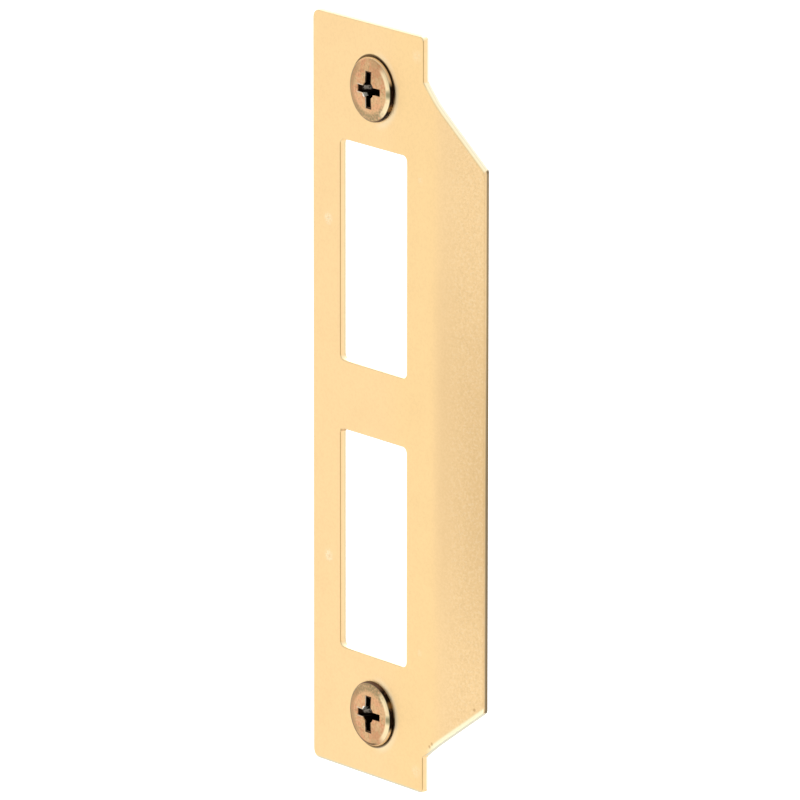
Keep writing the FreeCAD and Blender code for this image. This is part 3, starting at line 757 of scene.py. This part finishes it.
radius_squared = add_node(tree, "ShaderNodeMath", [radius, radius], operation="MULTIPLY")
dome = add_node(tree, "ShaderNodeMath",
                [radius_squared, -0.5 / DOME_RADIUS_MM, CROWN_MM - SKIN_MM],
                operation="MULTIPLY_ADD")
sunk = add_node(tree, "ShaderNodeMath", [dome, height], operation="SUBTRACT")
print("the dome's crown is", CROWN_MM, "mm above the plate")

# %% Black recess with grey walls
RECESS_GREY = linear("#A89E90")
RECESS_REACH_MM = (3.75, 3.45)
RECESS_FLOOR_MM = (-2.3, -1.7)
RECESS_EDGE_MM = (0.0, 0.22)
WALL_LEFTWARD = (0.0, -0.5)
WALL_FACE = (0.15, 0.50)
WALL_TOP_MM = (0.7, 1.1)
WALL_FOOT_MM = (2.3, 1.8)
WALL_ARM_MM = (0.50, 0.25)
WALL_SPECKLE = (0.34, 0.52)

recess = mask(tree, height, RECESS_FLOOR_MM, mask(tree, radius, RECESS_REACH_MM))
recess = mask(tree, sunk, RECESS_EDGE_MM, recess)
colour = coat(tree, colour, BLACKENING_AND_SHADE, recess)
arms = add_node(tree, "ShaderNodeVectorMath", [from_axis], operation="ABSOLUTE")
arm_right, arm_out = add_node(tree, "ShaderNodeSeparateXYZ", [arms]).outputs[:2]
lit_walls = mask(tree, normal[0], WALL_FACE, mask(tree, right_share, WALL_LEFTWARD, recess))
lit_walls = mask(tree, sunk, WALL_TOP_MM, mask(tree, sunk, WALL_FOOT_MM, lit_walls))
lit_walls = mask(tree, arm_out, WALL_ARM_MM, lit_walls)
lit_walls = mask(tree, speckle, WALL_SPECKLE, lit_walls)
colour = coat(tree, colour, RECESS_GREY, lit_walls, strength=0.8)
print("the recess reaches", RECESS_REACH_MM[1], "mm from the axis")

# %% A painted glint, and blackening and painted shade beside the upright arms
GLINT_WHITE = linear("#FFFDF0")
GLINT_SPOT_CENTRE_MM = (-1.15, -0.95)
GLINT_SPOT_MM = (0.52, 0.34)
GLINT_SPOT_DEPTH_MM = (0.80, 0.55)
BESIDE_ARM_MM = (0.92, 0.80)
ARM_START_MM = (0.80, 1.10)
ARM_END_MM = (3.50, 3.38)
BESIDE_DEPTH_MM = (0.12, 0.02)

# Painted highlight: one small white glint in the recess.
near_top = mask(tree, sunk, GLINT_SPOT_DEPTH_MM)
glint_spot = round_spot(tree, from_axis, GLINT_SPOT_CENTRE_MM, GLINT_SPOT_MM, near_top)
colour = coat(tree, colour, GLINT_WHITE, glint_spot, strength=0.95)
# Blackening and painted shade: black on the face beside the upright arms.
beside_arm = mask(tree, arm_right, BESIDE_ARM_MM, mask(tree, arm_out, ARM_END_MM))
beside_arm = mask(tree, arm_out, ARM_START_MM, beside_arm)
beside_arm = mask(tree, sunk, BESIDE_DEPTH_MM, beside_arm)
colour = coat(tree, colour, BLACKENING_AND_SHADE, beside_arm, strength=0.9)
print("the nick is at", GLINT_SPOT_CENTRE_MM, "mm from the axis")

# %% [markdown]
# ### Rims of the recess, and the shank
# The punch that forms the recess raises a sharp rim, and a thin painted glint runs along the
# arms on the side away from the lip. A bevel in the model would show it too, but it is only a
# fraction of a millimetre wide. A mask follows both arms at once, because the nearer of the
# two distances to them is the smaller one. Behind the plate nothing rubs the screw, and its
# plating is duller.

# %% Glint along the rims, and the dull shank
EDGE_GLINT = linear("#DCCDB4")
SHANK_BRONZE = linear("#A27C50")
GLINT_INSIDE_MM = (0.62, 0.68)
GLINT_OUTSIDE_MM = (0.92, 0.78)
GLINT_REACH_MM = (3.55, 3.40)
GLINT_DEPTH_MM = (0.06, 0.02)
GLINT_LEFTWARD = (0.15, -0.05)
GLINT_PATCHES = (0.42, 0.52)
BEHIND_PLATE_MM = (-1.6, -2.2)

from_arm = add_node(tree, "ShaderNodeMath", [arm_right, arm_out], operation="MINIMUM")
glint = mask(tree, from_arm, GLINT_INSIDE_MM, mask(tree, from_arm, GLINT_OUTSIDE_MM))
glint = mask(tree, radius, GLINT_REACH_MM, mask(tree, sunk, GLINT_DEPTH_MM, glint))
glint = mask(tree, right_share, GLINT_LEFTWARD, glint)
glint = mask(tree, patches, GLINT_PATCHES, glint)
colour = coat(tree, colour, EDGE_GLINT, glint, strength=0.8)
colour = coat(tree, colour, SHANK_BRONZE, mask(tree, height, BEHIND_PLATE_MM), strength=0.8)
print("the shank is duller from", -BEHIND_PLATE_MM[0], "mm behind the plate's front")

# %% [markdown]
# ### How the screws scatter light
# The rubbed bronze is about as smooth as the plate, but its mottle is deeper. The same noises
# that give its colour also give its bump, so the dark specks lie a little lower, as pits do.

# %% Shading of the screws
BRONZE_ROUGHNESS = 0.34
SPECKLE_ROUGHNESS = 0.16
MOTTLE_BUMP = 0.5
MOTTLE_DEPTH_MM = 0.03

rough = add_node(tree, "ShaderNodeMath", [speckle, SPECKLE_ROUGHNESS, BRONZE_ROUGHNESS],
                 operation="MULTIPLY_ADD")
relief = add_node(tree, "ShaderNodeMath", [speckle, patches], operation="ADD")
finish_metal(tree, colour, rough, relief, MOTTLE_BUMP, MOTTLE_DEPTH_MM)
print("screw material has", len(tree.nodes), "nodes")

# %% [markdown]
# ## Finishes onto the pieces
# The plate and the screws keep their CAD meshes, because their shapes are right. Only what
# stands in their material slots changes: brass for the plate and bronze for both screws.

# %% Brass on the plate, bronze on the screws
FINISHES = {"strike_plate": brass, "upper_screw": bronze, "lower_screw": bronze}
for name, finish in FINISHES.items():
    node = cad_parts[name]
    node.data.materials.clear()
    node.data.materials.append(finish)
print("finishes:", {name: finish.name for name, finish in FINISHES.items()})

# %% [markdown]
# ## The wood thread
# Behind the plate each screw has a coarse wood thread: one sharp ridge that winds round the
# core and dies out on the gimlet point. The CAD model holds only the core. A ridge could be a
# modifier, but a spin is direct: a small section is turned about the axis and moved along it
# at the same time, and then each ring of the ridge is drawn in to the core under it.

# %% Sizes of the core and the ridge
CORE_RADIUS_MM = 2.2
SHANK_END_MM = 6.53
POINT_END_MM = 10.73
POINT_RADIUS_MM = 0.25
THREAD_START_MM = 3.7
THREAD_END_MM = 10.05
THREAD_PITCH_MM = 2.54
RIDGE_HEIGHT_MM = 0.85
RISE_TURNS = 0.4
LEAST_RIDGE = 0.04


def core_radius(depth_mm):
    along = (depth_mm - SHANK_END_MM) / (POINT_END_MM - SHANK_END_MM)
    along = min(max(along, 0.0), 1.0)
    return CORE_RADIUS_MM + (POINT_RADIUS_MM - CORE_RADIUS_MM) * along


def ridge_share(depth_mm):
    rise = min(1.0, (depth_mm - THREAD_START_MM) / (RISE_TURNS * THREAD_PITCH_MM))
    fall = min(1.0, (THREAD_END_MM - depth_mm) / THREAD_PITCH_MM)
    return max(LEAST_RIDGE, min(rise, fall))


print("radius of the core where the thread ends:", round(core_radius(THREAD_END_MM), 2), "mm")

# %% [markdown]
# ### The ridge
# The section has four corners: two on the core and two on the crest. After the spin, a
# corner's distance from the axis tells which of the two it is. The ridge's foot is sunk a
# little into the core, so no gap shows between them. The spin closes both ends.

# %% Section and spin
RIDGE_HALF_WIDTH_MM = 0.62
CREST_HALF_WIDTH_MM = 0.07
SECTION_OUT_MM = 1.0
STEPS_PER_TURN = 36
SUNK_MM = 0.06


def spin_ridge(bm):
    corners = [(0.0, -RIDGE_HALF_WIDTH_MM), (SECTION_OUT_MM, -CREST_HALF_WIDTH_MM),
               (SECTION_OUT_MM, CREST_HALF_WIDTH_MM), (0.0, RIDGE_HALF_WIDTH_MM)]
    section = [bm.verts.new((0.0, THREAD_START_MM + along, CORE_RADIUS_MM + out))
               for out, along in corners]
    bm.faces.new(section)
    turns = (THREAD_END_MM - THREAD_START_MM) / THREAD_PITCH_MM
    steps = round(turns * STEPS_PER_TURN)
    bmesh.ops.spin(bm, geom=bm.verts[:] + bm.edges[:] + bm.faces[:], cent=(0, 0, 0),
                   axis=(0, 1, 0), dvec=(0, THREAD_PITCH_MM / STEPS_PER_TURN, 0),
                   angle=2 * math.pi * steps / STEPS_PER_TURN, steps=steps)


def fit_ridge_to_core(bm):
    for vert in bm.verts:
        out = math.hypot(vert.co.x, vert.co.z) - CORE_RADIUS_MM
        wanted = core_radius(vert.co.y) - SUNK_MM
        if out > SECTION_OUT_MM / 2:
            wanted += SUNK_MM + RIDGE_HEIGHT_MM * ridge_share(vert.co.y)
        scale = wanted / (out + CORE_RADIUS_MM)
        vert.co.x *= scale
        vert.co.z *= scale


print("the ridge is", 2 * RIDGE_HALF_WIDTH_MM, "mm wide at its foot")


# %% One thread for each screw
def mesh_from(bm, name):
    mesh = bpy.data.meshes.new(name)
    bm.to_mesh(mesh)
    bm.free()
    return mesh


def make_thread(name, centre_z_mm):
    bm = bmesh.new()
    spin_ridge(bm)
    fit_ridge_to_core(bm)
    bmesh.ops.translate(bm, verts=bm.verts, vec=(SCREW_X_MM, 0, centre_z_mm))
    bmesh.ops.scale(bm, verts=bm.verts, vec=(MM, MM, MM))
    bmesh.ops.recalc_face_normals(bm, faces=bm.faces)
    for face in bm.faces:
        face.smooth = True
    thread = add_object(name, mesh_from(bm, name))
    thread.data.materials.append(bronze)
    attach(thread, "root")
    return thread


threads = [make_thread("upper_screw_thread", SCREW_Z_MM),
           make_thread("lower_screw_thread", -SCREW_Z_MM)]
for thread in threads:
    corners = [Vector(corner) for corner in thread.bound_box]
    low = [round(min(corner[i] for corner in corners) / MM, 2) for i in range(3)]
    high = [round(max(corner[i] for corner in corners) / MM, 2) for i in range(3)]
    print(thread.name, "has", len(thread.data.polygons), "faces, from", low, "to", high)

# %% [markdown]
# ## The floor
# The photograph is cut out on white. A white backdrop could be lit until it burns out, but
# that light would fall on the metal too. The floor is pale paper that keeps a soft shadow,
# and only what the camera sees of it is lifted towards white.

# %% Pale floor below the plate
FLOOR_Z = -0.16
FLOOR_HALF = 3.0
FLOOR_LIFT = 0.35
PAPER = linear("#F2F2F2")
WHITE = linear("#FFFFFF")

bm = bmesh.new()
bmesh.ops.create_grid(bm, x_segments=1, y_segments=1, size=FLOOR_HALF)
bmesh.ops.translate(bm, verts=bm.verts, vec=(0, 0, FLOOR_Z))
floor = add_object("floor", mesh_from(bm, "floor"))

paper = new_material("white_paper_floor")
tree = paper.node_tree
path = add_node(tree, "ShaderNodeLightPath")
lift = add_node(tree, "ShaderNodeMath", [path.outputs["Is Camera Ray"], FLOOR_LIFT],
                operation="MULTIPLY")
matt = add_node(tree, "ShaderNodeBsdfDiffuse", {"Color": PAPER})
glow = add_node(tree, "ShaderNodeEmission", {"Color": WHITE, "Strength": lift})
both = add_node(tree, "ShaderNodeAddShader", [matt, glow])
add_node(tree, "ShaderNodeOutputMaterial", {"Surface": both})
floor.data.materials.append(paper)
print("floor at", FLOOR_Z, "m, seen", FLOOR_LIFT, "lighter than it is lit")

# %% [markdown]
# ## The light
# The whole surround is the lamp, as in a tent of white cloth, which gives soft light with no
# hard glints. Lamps could stand round the plate instead, but each would show in the metal.
# The surround is a little dimmer in front of the plate, with a glow high behind it and a
# faint one above the camera. The metal mirrors these levels, which are near white. What the
# camera sees directly is plain white.

# %% White surround
BASE_LEVEL = 0.930
FRONT_LOW = (0.35, -0.93, -0.10)
FRONT_FALL = 0.29
# The direction of each glow's middle, the limits of its fade, and its strength.
GLOWS = {"high behind the plate": ((-0.75, 0.61, 0.25), (0.55, 1.0), 2.15),
         "above the camera": ((0.17, -0.71, 0.69), (0.70, 1.0), 0.12)}
MIX_LEVEL = 2
MIX_SEEN = 3
SEEN_WHITE = 1.0

world = bpy.data.worlds.new("white_studio")
bpy.context.scene.world = world
world.use_nodes = True
tree = world.node_tree
tree.nodes.clear()
direction = add_node(tree, "ShaderNodeTexCoord").outputs["Generated"]
in_front = add_node(tree, "ShaderNodeVectorMath", [direction, FRONT_LOW],
                    operation="DOT_PRODUCT").outputs["Value"]
level = add_node(tree, "ShaderNodeMath", [in_front, -FRONT_FALL, BASE_LEVEL],
                 operation="MULTIPLY_ADD")
for name, (middle, fade, strength) in GLOWS.items():
    towards = add_node(tree, "ShaderNodeVectorMath", [direction, middle],
                       operation="DOT_PRODUCT").outputs["Value"]
    level = add_node(tree, "ShaderNodeMath", [mask(tree, towards, fade), strength, level],
                     operation="MULTIPLY_ADD")
    print("a glow of", strength, name)
path = add_node(tree, "ShaderNodeLightPath")
shown = add_node(tree, "ShaderNodeMix",
                 {MIX_SHARE: path.outputs["Is Camera Ray"], MIX_LEVEL: level,
                  MIX_SEEN: SEEN_WHITE}, data_type="FLOAT")
sky = add_node(tree, "ShaderNodeBackground", {"Color": WHITE, "Strength": shown})
add_node(tree, "ShaderNodeOutputWorld", {"Surface": sky})
print("surround at", BASE_LEVEL, "give or take", FRONT_FALL)

# %% [markdown]
# ## The end
# The Standard view shows a colour as it is written.

bpy.context.scene.view_settings.view_transform = "Standard"
